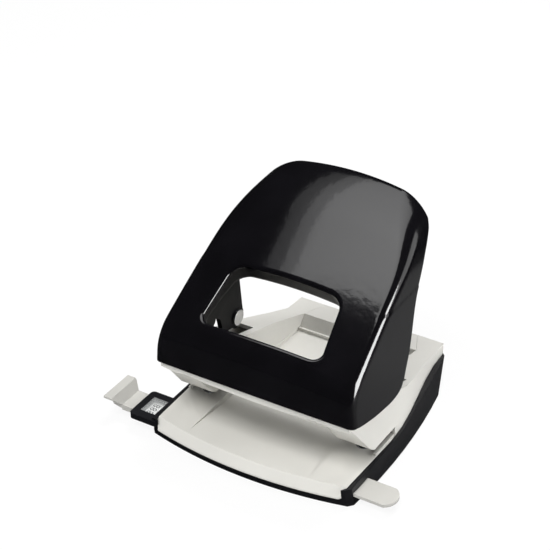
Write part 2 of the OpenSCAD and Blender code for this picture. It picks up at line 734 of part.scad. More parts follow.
module handle_shell() {
    color([0.03, 0.03, 0.035]) difference() {
        intersection() {
            difference() {
                intersection() {
                    crowned(0);
                    front_view(0);
                }
                difference() {
                    intersection() {
                        crowned(sheet_t);
                        front_view(sheet_t);
                    }
                    // turned-in rim of the window
                    intersection() {
                        difference() {
                            window_hole(1.4);
                            window_hole(0);
                        }
                        difference() {
                            crowned(0.5);
                            crowned(rim_depth);
                        }
                    }
                }
            }
            along_x(-60, 60) flange_profile();
        }
        window_hole(0);
    }
}

press_t = 2.4;
cam_r = 4;
cam_z = pin_top_z + side_gap + cam_r;
ear_y = 1.5;
ear_z = 36.5;

// Side profile of the press frame's plates. Its upper edge runs past the handle's sheet.
module press_profile() {
    difference() {
        union() {
            polygon([
                [pivot_y - 3.6, pivot_z - 2], [pivot_y - 4.9, pivot_z + 7.2], [pivot_y - 12, 48.5],
                [pivot_y - 12, 62], [-12, 90], [2, 90],
                [3.5, 60], [ear_y + 5.2, ear_z], [ear_y - 4, ear_z - 3.6], [pin_y + 10, ear_z - 2.5],
                [pin_y + 7.5, pin_top_z + 1], [pin_y + 3.5, cam_z],
                [pin_y - 3.5, cam_z], [pivot_y + 4.4, pivot_z + 1]]);
            translate([pivot_y, pivot_z]) circle(4.5);
            translate([ear_y, ear_z]) circle(5.4);
            translate([pin_y, cam_z]) circle(cam_r);
        }
        translate([pivot_y, pivot_z]) circle(axle_r + fit);
        translate([ear_y, ear_z]) circle(1.6);
    }
}

module press_frame() {
    color([0.05, 0.05, 0.055]) intersection() {
        union() {
            both() along_x(pin_x - press_t / 2, pin_x + press_t / 2) press_profile();
            // cross plate behind the face, under the window
            difference() {
                block(-pin_x, pin_x, -60, -37.5, 45, 56.5);
                crowned(sheet_t + seat + 1.8);
            }
        }
        crowned(sheet_t + seat);
    }
}

module handle_stud(side) {
    color([0.6, 0.6, 0.6]) {
        rod_x(3.9, side > 0 ? pin_x - press_t / 2 - 1.2 : -pin_x + press_t / 2 + seat,
            side > 0 ? pin_x - press_t / 2 - seat : -pin_x + press_t / 2 + 1.2, ear_y, ear_z);
        rod_x(1.6 - 0.03, side > 0 ? pin_x - press_t / 2 - 0.5 : -pin_x - press_t / 2 - 0.6,
            side > 0 ? pin_x + press_t / 2 + 0.6 : -pin_x + press_t / 2 + 0.5, ear_y, ear_z);
    }
}

// ---------- paper guide ----------

stop_y0 = rail_y - 10.6;
stop_y1 = rail_y + 8.6;
ledge_y = [rail_y - 6.6, rail_y + 6.3];
stop_foot_z = guide_box_z - 0.5;        // foot of the stop's inner face
stop_low_z = box_low_z + 1;             // underside of the stop's outer edge

module guide_rail() {
    color([0.78, 0.78, 0.77]) {
        union() {
            block(-guide_stop_x, base_half_w - 0.7, rail_y0, rail_y1, rail_z, rail_top_z);
            // tab for the thumb, with a step up from the rail
            upright(rail_z, tab_top_z) union() {
                translate([base_half_w - 3.8, rail_y0]) square([13.6, rail_w]);
                intersection() {
                    translate([base_half_w + 8.7, rail_y]) circle(7.4);
                    translate([base_half_w + 2.3, rail_y0]) square([20, rail_w]);
                }
            }
            // stop: its inner face leans outwards, and it widens upwards
            intersection() {
                along_y(stop_y0, stop_y1) polygon([
                    [-guide_stop_x - 5, stop_low_z], [-guide_stop_x, box_low_z],
                    [-guide_stop_x, stop_foot_z], [-guide_stop_x - 3.3, rail_z + stop_h],
                    [-guide_stop_x - 7.6, rail_z + stop_h], [-guide_stop_x - 7.2, rail_z + stop_h - 2]]);
                along_x(-guide_stop_x - 20, 0) polygon([
                    [ledge_y[0], 0], [ledge_y[1], 0], [ledge_y[1], stop_foot_z],
                    [stop_y1, rail_z + stop_h - 1], [stop_y1, 30], [stop_y0, 30],
                    [stop_y0, rail_z + stop_h - 1], [ledge_y[0], stop_foot_z]]);
            }
            // ledge between the stop and the box
            block(-guide_stop_x - 0.5, -bracket_box_x - side_gap, ledge_y[0], ledge_y[1],
                rail_z, stop_foot_z);
        }
    }
}

module guide_window() {
    color([0.85, 0.88, 0.9]) block(-window_x[1] - 0.7, -window_x[0] + 0.7,
        window_y[0] - 0.7, window_y[1] + 0.7,
        guide_box_z - 0.85, guide_box_z - 0.1);
}

leaf_z = tray_lift + tray_wall + seat;      // underside of the leaf spring

module rail_spring() {
    color([0.75, 0.76, 0.78]) {
        along_y(rail_y - 3, rail_y + 3) polygon([
            [-16, leaf_z], [16, leaf_z], [16, leaf_z + 0.4], [5, leaf_z + 0.4], [1.5, rail_z - 0.1],
            [-1.5, rail_z - 0.1], [-5, leaf_z + 0.4], [-16, leaf_z + 0.4]]);
    }
}

// ---------- screws ----------

module base_screws() {
    color([0.45, 0.45, 0.47]) both() for (i = [0, 1])
        translate([base_screw_x[i], base_screw_y[i], 0.85]) screw(5.5, screw_r, screw_head_r);
}

module bracket_screws() {
    color([0.45, 0.45, 0.47]) both() for (y = bracket_screw_y)
        translate([pin_x, y, table_z - 0.4 + 1.25]) mirror([0, 0, 1]) screw(4.6, screw_r, screw_head_r);
}

base_tray();
rear_mat();
front_feet();
chip_door();
deck();
housing();
die_plate(-1);  // die_plate_left
die_plate(1);  // die_plate_right
cutting_die(-1);  // cutting_die_left
cutting_die(1);  // cutting_die_right
punch_bracket(-1);  // punch_bracket_left
punch_bracket(1);  // punch_bracket_right
punch_pin(-1);  // punch_pin_left
punch_pin(1);  // punch_pin_right
return_spring(-1);  // return_spring_left
return_spring(1);  // return_spring_right
spring_washer(-1);  // spring_washer_left
spring_washer(1);  // spring_washer_right
pin_clip(-1);  // pin_clip_left
pin_clip(1);  // pin_clip_right
pivot_axle();
axle_clips();
handle_shell();
press_frame();
handle_stud(-1);  // handle_stud_left
handle_stud(1);  // handle_stud_right
guide_rail();
guide_window();
rail_spring();
base_screws();
bracket_screws();
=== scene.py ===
import math

import bmesh
import bpy
import numpy as np
from bpy.props import FloatProperty, FloatVectorProperty, PointerProperty
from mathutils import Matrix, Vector


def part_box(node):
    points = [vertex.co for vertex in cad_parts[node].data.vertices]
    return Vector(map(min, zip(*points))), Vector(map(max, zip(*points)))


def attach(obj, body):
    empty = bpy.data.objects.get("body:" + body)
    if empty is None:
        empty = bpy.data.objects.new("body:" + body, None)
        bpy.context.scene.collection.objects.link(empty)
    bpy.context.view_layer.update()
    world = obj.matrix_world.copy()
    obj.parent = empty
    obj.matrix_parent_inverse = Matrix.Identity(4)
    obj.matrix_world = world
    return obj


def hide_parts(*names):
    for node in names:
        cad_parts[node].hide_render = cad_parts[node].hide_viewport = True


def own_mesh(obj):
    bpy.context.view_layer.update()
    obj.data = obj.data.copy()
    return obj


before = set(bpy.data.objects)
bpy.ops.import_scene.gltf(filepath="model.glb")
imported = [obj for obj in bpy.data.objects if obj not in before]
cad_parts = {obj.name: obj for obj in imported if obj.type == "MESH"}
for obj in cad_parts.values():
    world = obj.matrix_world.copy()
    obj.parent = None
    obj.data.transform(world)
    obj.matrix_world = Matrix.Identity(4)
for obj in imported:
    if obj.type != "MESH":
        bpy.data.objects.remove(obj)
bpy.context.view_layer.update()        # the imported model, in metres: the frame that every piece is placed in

bl_info = {
    "name": "Hole punch",
    "version": (1, 0, 0),
    "blender": (4, 5, 0),
    "location": "View3D > Sidebar > Hole punch",
    "description": "Dresses the two-hole desk punch: sheet handle, plastics, steel parts and a studio",
    "category": "Object",
}

MM = 0.001

# Pieces, in millimetres
BAND_Y, BAND_EDGE_Z, BAND_RISE = -49.0, (35.4, 36.6), 1.3       # band under the handle's lip, its lower edge
RAIL_T = 1.2                # thickness of the guide's rail
# Studio, in metres
CAMERA_TARGET = (-0.0397, 0.0367, 0.040)
FLOOR_TONE, FLOOR_GLOW = 0.86, 0.9      # tone, and how much of what the camera sees is plain white
GLOSS_LIGHT_POOL_CENTRE = (0.11, 0.13, 0)          # painted pool of light: in gloss the floor's colour is pale about this point
GLOSS_PAINTED_LIGHT, GLOSS_REACH = (0.13, 0.005), (0.07, 0.2)    # painted light of the floor in gloss: its tone near and far, and the distances


# ---------- sizes and colours that a user would change ----------

class HandleSettings(bpy.types.PropertyGroup):
    """Sizes of the handle"""
    sheet: FloatProperty(name="Sheet", description="Thickness of the handle's steel sheet",
                         default=1.5 * MM, min=0.001, max=0.0018, unit="LENGTH")
    crease: FloatProperty(name="Crease radius", description="Rounding between the face and a flange",
                          default=3.6 * MM, min=0.002, max=0.005, unit="LENGTH")
    rim_depth: FloatProperty(name="Rim depth", description="Depth of the window's turned-in rim",
                             default=5.2 * MM, min=0.003, max=0.006, unit="LENGTH")
    rim_round: FloatProperty(name="Rim radius", description="Rounding where the rim turns in",
                             default=1.8 * MM, min=0.001, max=0.003, unit="LENGTH")


class FinishSettings(bpy.types.PropertyGroup):
    """Colours"""
    enamel: FloatVectorProperty(name="Enamel", description="Gloss enamel of the handle", subtype="COLOR",
                                size=3, default=(0.0035, 0.0033, 0.0042), min=0, max=1)
    light: FloatVectorProperty(name="Light plastic", description="Deck, housing and paper guide",
                               subtype="COLOR", size=3, default=(0.69, 0.68, 0.64), min=0, max=1)
    dark: FloatVectorProperty(name="Dark plastic", description="Base tray and chip door", subtype="COLOR",
                              size=3, default=(0.007, 0.007, 0.0085), min=0, max=1)
    rubber: FloatVectorProperty(name="Rubber", description="Mat and feet", subtype="COLOR",
                                size=3, default=(0.02, 0.02, 0.02), min=0, max=1)


class StudioSettings(bpy.types.PropertyGroup):
    """Camera and lights"""
    azimuth: FloatProperty(name="Camera azimuth", description="Turn of the camera to the right of the front",
                           default=math.radians(31.11), subtype="ANGLE")
    elevation: FloatProperty(name="Camera elevation", description="Height of the camera over the horizon",
                             default=math.radians(32.22), subtype="ANGLE")
    distance: FloatProperty(name="Camera distance", description="From the camera to the point it looks at",
                            default=0.8049, unit="LENGTH")
    lens: FloatProperty(name="Lens", description="Focal length on a 36 mm sensor", default=111.3,
                        subtype="DISTANCE_CAMERA")
    key: FloatProperty(name="Top light", description="Power of the soft light overhead", default=4.2,
                       subtype="POWER")
    side: FloatProperty(name="Side light", description="Power of the low light on the right",
                        default=11.0, subtype="POWER")
    front: FloatProperty(name="Front light", description="Power of the soft light over the front, not in gloss",
                         default=9.0, subtype="POWER")
    fill: FloatProperty(name="Surroundings", description="Brightness of the surroundings", default=0.22,
                        min=0, max=1, subtype="FACTOR")


# ---------- materials ----------

def shader(name, color, roughness, **sockets):
    """A new material with one Principled shader, its plain values set on the shader's own sockets."""
    m = bpy.data.materials.new(name)
    m.use_nodes = True
    s = m.node_tree.nodes["Principled BSDF"]
    s.inputs["Base Color"].default_value = (*color, 1)
    s.inputs["Roughness"].default_value = roughness
    for key, value in sockets.items():
        s.inputs[key.replace("_", " ")].default_value = value
    m.diffuse_color = (*color, 1)
    return m, m.node_tree, s


def noise(tree, scale, detail, stretch=(1, 1, 1)):
    """Noise on Object coordinates, in features per metre; stretch squeezes it along an axis."""
    co = tree.nodes.new("ShaderNodeTexCoord")
    mp = tree.nodes.new("ShaderNodeMapping")
    tx = tree.nodes.new("ShaderNodeTexNoise")
    mp.inputs["Scale"].default_value = stretch
    tx.inputs["Scale"].default_value = scale
    tx.inputs["Detail"].default_value = detail
    tx.inputs["Roughness"].default_value = 0.5
    tree.links.new(co.outputs["Object"], mp.inputs["Vector"])
    tree.links.new(mp.outputs["Vector"], tx.inputs["Vector"])
    return tx.outputs["Fac"]


def ranged(tree, value, low, high, start=0.0, end=1.0):
    """The value, mapped from start..end to low..high."""
    r = tree.nodes.new("ShaderNodeMapRange")
    for key, number in (("From Min", start), ("From Max", end), ("To Min", low), ("To Max", high)):
        r.inputs[key].default_value = number
    tree.links.new(value, r.inputs["Value"])
    return r.outputs["Result"]


def tinted(tree, target, value, dark, light, start=0.3, end=0.7):
    """Colour that runs from dark to light with the value."""
    r = tree.nodes.new("ShaderNodeValToRGB")
    r.color_ramp.elements[0].position = start
    r.color_ramp.elements[1].position = end
    r.color_ramp.elements[0].color = (*dark, 1)
    r.color_ramp.elements[1].color = (*light, 1)
    tree.links.new(value, r.inputs["Fac"])
    tree.links.new(r.outputs["Color"], target)


def bumped(tree, target, height, distance, strength):
    """Bump of the given real height in metres."""
    b = tree.nodes.new("ShaderNodeBump")
    b.inputs["Distance"].default_value = distance
    b.inputs["Strength"].default_value = strength
    tree.links.new(height, b.inputs["Height"])
    tree.links.new(b.outputs["Normal"], target)


def scaled(color, k):
    """The colour, lighter or darker by a factor."""
    return tuple(min(1.0, c * k) for c in color)


def material(name, color, roughness, tone, polish, grain, stretch=(1, 1, 1), **sockets):
    """A Principled material whose colour, roughness and bump each follow a noise of its own.
    tone: features per metre, detail, and how dark and how light the colour gets, or None.
    polish: features per metre, detail, lowest and highest roughness.
    grain: features per metre, detail, height in metres, strength.
    stretch draws out the polish and the grain along an axis."""
    m, t, s = shader(name, color, roughness, **sockets)
    if tone:
        scale, detail, dark, light = tone
        tinted(t, s.inputs["Base Color"], noise(t, scale, detail), scaled(color, dark), scaled(color, light))
    scale, detail, low, high = polish
    t.links.new(ranged(t, noise(t, scale, detail, stretch), low, high), s.inputs["Roughness"])
    scale, detail, height, strength = grain
    bumped(t, s.inputs["Normal"], noise(t, scale, detail, stretch), height, strength)
    return m


def gloss_enamel():
    """Baked enamel: near black, a clear gloss with a faint orange peel 2 to 4 mm across, and fine dust."""
    m = material("gloss enamel", tuple(bpy.context.scene.punch_finish.enamel), 0.1,
                 tone=(60, 3, 0.85, 1.25), polish=(420, 4, 0.08, 0.13), grain=(240, 3, 0.000045, 0.8),
                 Coat_Weight=0.35, Coat_Roughness=0.04, Specular_IOR_Level=0.45)
    s = m.node_tree.nodes["Principled BSDF"]
    m.node_tree.links.new(s.inputs["Normal"].links[0].from_socket, s.inputs["Coat Normal"])
    return m


def satin_enamel():
    """The same enamel on the folded frame inside: thinner and less glossy."""
    return material("satin enamel", scaled(tuple(bpy.context.scene.punch_finish.enamel), 1.2), 0.4,
                    tone=(90, 3, 1 / 1.2, 1.6 / 1.2), polish=(300, 4, 0.35, 0.5), grain=(500, 2, 0.00003, 0.4),
                    Specular_IOR_Level=0.1)


def light_plastic():
    """Moulded plastic with a fine spark-eroded grain, a little uneven in tone."""
    return material("light plastic", tuple(bpy.context.scene.punch_finish.light), 0.5,
                    tone=(35, 4, 0.965, 1.02), polish=(250, 3, 0.44, 0.58), grain=(3800, 2, 0.00001, 0.5),
                    Specular_IOR_Level=0.4)


def dark_plastic():
    """Satin moulded plastic with a fine grain and slightly rubbed tone."""
    return material("dark plastic", tuple(bpy.context.scene.punch_finish.dark), 0.35,
                    tone=(45, 4, 0.8, 1.3), polish=(260, 3, 0.3, 0.42), grain=(3200, 2, 0.00001, 0.5),
                    Specular_IOR_Level=0.3)


def guide_plastic():
    """The guide's plastic: the light one, greyer and a little glossier."""
    return material("guide plastic", scaled(tuple(bpy.context.scene.punch_finish.light), 0.7), 0.42,
                    tone=(60, 4, 0.94, 1.04), polish=(250, 3, 0.36, 0.5), grain=(2600, 2, 0.00001, 0.5),
                    Specular_IOR_Level=0.4)


def print_ink(name, color):
    """Screen print: a matte film with pinholes and a slightly uneven tone."""
    return material(name, color, 0.6, tone=(900, 4, 0.9, 1.05), polish=(700, 3, 0.5, 0.7),
                    grain=(4000, 2, 0.000005, 0.4), Specular_IOR_Level=0.3)


def rubber():
    """Matte black rubber with dust in its grain."""
    return material("rubber", tuple(bpy.context.scene.punch_finish.rubber), 0.85,
                    tone=(180, 5, 0.8, 2.0), polish=(300, 3, 0.75, 0.95), grain=(1500, 3, 0.00006, 0.6))


def steel(name, color, rough, stretch, scratch=0.6):
    """Bare or plated steel with fine drawn lines along one axis and a cloudy tone."""
    return material(name, color, rough, tone=(120, 4, 0.82, 1.06), polish=(900, 4, rough * 0.75, rough * 1.5),
                    grain=(1600, 3, 0.00002, scratch), stretch=stretch, Metallic=1.0)


def clear_pane():
    """Clear plastic pane: mostly see-through, with a faint haze and its own gloss."""
    return material("clear pane", (0.9, 0.92, 0.92), 0.06, tone=None, polish=(400, 3, 0.04, 0.1),
                    grain=(300, 2, 0.00001, 0.3), Alpha=0.16)


# ---------- making pieces and lamps ----------

def new_piece(name, verts_mm, faces, finish, body):
    """A smooth mesh object at the origin from points in millimetres, riding on a body."""
    mesh = bpy.data.meshes.new(name)
    mesh.from_pydata((np.asarray(verts_mm) * MM).tolist(), [], np.asarray(faces).tolist())
    mesh.update()
    mesh.polygons.foreach_set("use_smooth", [True] * len(mesh.polygons))
    ob = bpy.data.objects.new(name, mesh)
    bpy.context.scene.collection.objects.link(ob)
    mesh.materials.append(finish)
    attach(ob, body)
    return ob


def rounded(ob, width, segments):
    """Rounds the sharp edges with a Bevel modifier, its normals hardened."""
    b = ob.modifiers.new("rounded edges", "BEVEL")
    b.width = width * MM
    b.segments = segments
    b.limit_method = "ANGLE"
    b.angle_limit = math.radians(35)
    b.harden_normals = True
    b.use_clamp_overlap = True


def dressed(node, finish, body, edge, segments=2):
    """A merged copy of a CAD node on the node's own body, with its flat faces joined, smooth faces, and
    edges rounded to a width in millimetres."""
    bm = bmesh.new()
    bm.from_mesh(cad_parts[node].data)
    bmesh.ops.remove_doubles(bm, verts=bm.verts, dist=2e-6)
    bmesh.ops.dissolve_limit(bm, angle_limit=math.radians(0.6), verts=bm.verts, edges=bm.edges)
    for f in bm.faces:
        f.smooth = True
    for e in bm.edges:
        e.smooth = len(e.link_faces) == 2 and e.calc_face_angle(0) < math.radians(30)
    mesh = bpy.data.meshes.new("dressed_" + node)
    bm.to_mesh(mesh)
    bm.free()
    ob = bpy.data.objects.new("dressed_" + node, mesh)
    bpy.context.scene.collection.objects.link(ob)
    mesh.materials.append(finish)
    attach(ob, body)
    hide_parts(node)
    if edge:
        rounded(ob, edge, segments)
    return ob


def lamp(name, place, target, size, power, lights):
    """A soft rectangular lamp that looks at a point, and lights only gloss or only plastic."""
    data = bpy.data.lights.new(name, "AREA")
    data.shape = "RECTANGLE"
    data.size, data.size_y = size
    data.energy = power
    ob = bpy.data.objects.new(name, data)
    ob.location = place
    ob.rotation_euler = (Vector(target) - Vector(place)).to_track_quat("-Z", "Y").to_euler()
    ob.visible_diffuse = lights == "plastic"
    ob.visible_glossy = lights == "gloss"
    bpy.context.scene.collection.objects.link(ob)
    return ob


def seen_rays(tree):
    """A Light Path node, and a value of 1 for rays from the camera, straight or through a clear piece."""
    rays = tree.nodes.new("ShaderNodeLightPath")
    seen = tree.nodes.new("ShaderNodeMath")
    seen.operation = "MAXIMUM"
    tree.links.new(rays.outputs["Is Camera Ray"], seen.inputs[0])
    tree.links.new(rays.outputs["Is Transmission Ray"], seen.inputs[1])
    return rays, seen.outputs[0]


# ---------- the handle's form, in millimetres ----------

# Side view: an upright line over the lip, then the arcs of knee, face and crown, each tangent to the next
TILT = math.radians(32)             # of the face
CA, SA = math.cos(TILT), math.sin(TILT)
LIP_Y = -52.8                       # the front's outer side
LIP_Z, LIP_RISE = 39.2, 2.6         # height of the lip's corners, and how much higher its middle is
KNEE_Z, KNEE_R = 49.6, 18.4         # height of the knee's centre, and its radius
FACE_R, BOW = 745.0, math.radians(2.4)      # radius, and half the angle that the face's arc spans
TOP_R = 75.0                        # radius of the arc at the rear
TOP_DROP = 0.25                     # the rear edge hangs down a little
# Front view: crown across, and a flange that leans in under the circle of the shoulder
CROWN_R = 192.0                     # of the face, from one crease to the other
HALF_W = 50.75                      # half width at the foot of a flange
SHOULDER_R, SHOULDER_X, SHOULDER_Z = 36.2, HALF_W - 39.9, 75.5
SHOULDER_BLEND = 2.5                # how sharp the bend between line and circle is, in 1/mm
FOLD_GROWTH = 0.6                   # the fold's radius grows by this share towards the rear
# Lower and rear edge of a flange, side view
FLANGE_EDGE = [(-64, LIP_Z), (-49.8, LIP_Z), (-34, 35), (-22, 33.3), (-14, 32.6), (-6, 34.0), (-1.5, 42.5),
               (3, 50.5), (9, 69), (14, 77.5), (20, 86.2), (25.5, 90.6), (30.6, 94.3), (35, 97.5), (39, 100)]
FLANGE_FRONT, FLANGE_REAR = (-44, 37.4), (30.6, 94.3)      # where the grid's first and last column meet it
# Window, on the tilted face: from its foot up, half widths to the corners' centres
WINDOW_FOOT, WINDOW_H = 0.4, 30.5   # foot over the knee's end, height
WINDOW_LOW = (24.8, 4.7, 4.5)       # lower corner: centre across, centre over the foot, radius
WINDOW_TOP = (20.3, 7.4, 7.0)       # upper corner: centre across, centre below the top, radius
WINDOW_BOW = 0.55                   # the top side's middle lies this much higher than its ends
RIM_SLOPE = 0.9                     # the rim is deeper by this share at the window's top
RIM_ROWS = 5                        # rows of quads down the straight wall of the rim
# Quads of the grid: across the lip, along a crease, across the rear edge, round a fold, down a flange
ACROSS_LIP, ALONG, ACROSS_REAR, ROUND_FOLD, DOWN_FLANGE = 84, 120, 76, 12, 34


def tilted(y, z):
    """A point of the side view, along and across the tilted face."""
    return y * CA + z * SA, -y * SA + z * CA


def untilted(a, n):
    """The way back from tilted()."""
    return a * CA - n * SA, a * SA + n * CA


def middle_arcs():
    """Knee, face and crown: (centre along, centre across, radius, last place along) of the three arcs."""
    knee = (LIP_Y + KNEE_R, KNEE_Z)
    first, last = math.pi / 2 + TILT + BOW, math.pi / 2 + TILT - BOW
    knee_end = (knee[0] + KNEE_R * math.cos(first), knee[1] + KNEE_R * math.sin(first))
    face = (knee_end[0] - FACE_R * math.cos(first), knee_end[1] - FACE_R * math.sin(first))
    face_end = (face[0] + FACE_R * math.cos(last), face[1] + FACE_R * math.sin(last))
    crown = (face_end[0] - TOP_R * math.cos(last), face_end[1] - TOP_R * math.sin(last))
    return [(*tilted(*knee), KNEE_R, tilted(*knee_end)[0]), (*tilted(*face), FACE_R, tilted(*face_end)[0]),
            (*tilted(*crown), TOP_R, math.inf)]


ARCS = middle_arcs()
KNEE_END = ARCS[0][3]
KNEE_START = tilted(LIP_Y, KNEE_Z)[0]
# the line that the crown turns about
AXIS = ARCS[0][1] + math.sqrt(KNEE_R ** 2 - (KNEE_END - ARCS[0][0]) ** 2) - CROWN_R


def middle_n(a):
    """Height of the middle line over the tilted plane: an upright line, then three arcs in turn."""
    a = np.asarray(a, float)
    n = (a * CA - LIP_Y) / SA
    start = KNEE_START
    for ca, cn, r, end in ARCS:
        on_arc = cn + np.sqrt(np.maximum(r * r - (a - ca) ** 2, 1e-9))
        n = np.where(a >= start, on_arc, n)
        start = end
    return n


def face_n(x, a):
    """Height of the crowned face: each point of the middle line turns about one axis below the face."""
    r = middle_n(a) - AXIS
    return AXIS + np.sqrt(r * r - x * x)


def flange_x(z):
    """Half width at a height: a line that leans in, softly cut by the circle of the shoulder."""
    line = np.where(z < 39, HALF_W - 0.6 * (z - 20) / 19, HALF_W - 0.6 - 3.4 * (z - 39) / 39)
    circle = SHOULDER_X + np.sqrt(np.maximum(SHOULDER_R ** 2 - (z - SHOULDER_Z) ** 2, 1.0))
    circle = np.where(z < SHOULDER_Z, HALF_W + 9, circle)
    k = SHOULDER_BLEND
    low = np.minimum(line, circle)
    return low - np.log(np.exp(-k * (line - low)) + np.exp(-k * (circle - low))) / k


def fold_points(a, turn, radius):
    """The fold between face and flange at each place a along the crease: a quarter turn, radius * (1 -
    cos) below the face and radius * (1 - sin) from the flange. Below means square to the middle line."""
    slope = (middle_n(a + 0.02) - middle_n(a - 0.02)) / 0.04
    down = radius * (1 - np.cos(turn)) / np.sqrt(1 + slope * slope)
    along = a + slope * down
    x = np.full(along.shape, 40.0)
    for _ in range(60):
        n = face_n(x, a) - down
        x = 0.5 * x + 0.5 * (flange_x(along * SA + n * CA) - radius * (1 - np.sin(turn)))
    return along, face_n(x, a) - down, x


def solve_a(x, target):
    """Place along the face, by halving, where target(y, z, x) changes sign."""
    lo, hi = np.full(np.shape(x), -27.0), np.full(np.shape(x), 96.0)
    for _ in range(50):
        mid = (lo + hi) / 2
        y, z = untilted(mid, face_n(x, mid))
        under = target(y, z, x) < 0
        lo, hi = np.where(under, mid, lo), np.where(under, hi, mid)
    return (lo + hi) / 2


def behind_rear(y, z, x):
    """How far a point lies behind the rear edge: 38 in the middle, and further forward towards the
    sides, as 0.0018 x squared and, past 28, as 0.021 of what is past to the power of 1.8."""
    past = np.clip(np.abs(x) - 28, 0, None)
    return y - 38 + 0.0018 * x * x + 0.021 * past ** 1.8


def run_length(points):
    """Length along a line of points, from its first point to each."""
    return np.r_[0, np.cumsum(np.hypot(*np.diff(points, axis=0).T))]


def rounded_line(points, passes):
    """Corner cutting: each pass puts two points on every segment, a quarter from its ends."""
    p = np.array(points, float)
    for _ in range(passes):
        q = np.empty((2 * len(p) - 2, 2))
        q[0::2] = 0.75 * p[:-1] + 0.25 * p[1:]
        q[1::2] = 0.25 * p[:-1] + 0.75 * p[1:]
        p = np.vstack([p[:1], q, p[-1:]])
    return p


def window_loop(counts):
    """The window's outline: straight sides and four corner arcs, cut at the middles of the arcs into
    bottom, right, top and left, each spread evenly by its length."""
    foot = KNEE_END + WINDOW_FOOT
    top = foot + WINDOW_H
    low_x, low_up, low_r = WINDOW_LOW
    top_x, top_down, top_r = WINDOW_TOP
    low_turn = np.radians(np.linspace(270, 355, 18))
    top_turn = np.radians(np.linspace(8, 78, 16))
    bow = np.linspace(1, 0, 14)[1:]
    half = np.vstack([
        [[0, foot]],
        np.c_[low_x + low_r * np.cos(low_turn), foot + low_up + low_r * np.sin(low_turn)],
        np.c_[top_x + top_r * np.cos(top_turn), top - top_down + top_r * np.sin(top_turn)],
        np.c_[(top_x + 1.45) * bow, top - WINDOW_BOW * bow ** 2]])
    low_middle, top_middle = half[len(low_turn) // 2], half[1 + len(low_turn) + len(top_turn) // 2]
    loop = np.vstack([half, (half * [-1, 1])[::-1][1:-1]])
    loop = np.vstack([loop, loop[:1]])
    s = run_length(loop)

    def place(key):
        """Length from the loop's start to the point that is nearest to key."""
        return s[np.argmin(np.hypot(*(loop - key).T))]
    start = place(low_middle * [-1, 1]) - s[-1]
    ends = [start, place(low_middle), place(top_middle), place(top_middle * [-1, 1]), start + s[-1]]
    at = np.concatenate([np.linspace(ends[i], ends[i + 1], counts[i] + 1)[:-1] for i in range(4)]) % s[-1]
    return np.c_[np.interp(at, s, loop[:, 0]), np.interp(at, s, loop[:, 1])]


def smoothed(loop, passes):
    """A closed loop, each point moved to the mean of itself and its neighbours."""
    for _ in range(passes):
        loop = 0.5 * loop + 0.25 * (np.roll(loop, 1, 0) + np.roll(loop, -1, 0))
    return loop


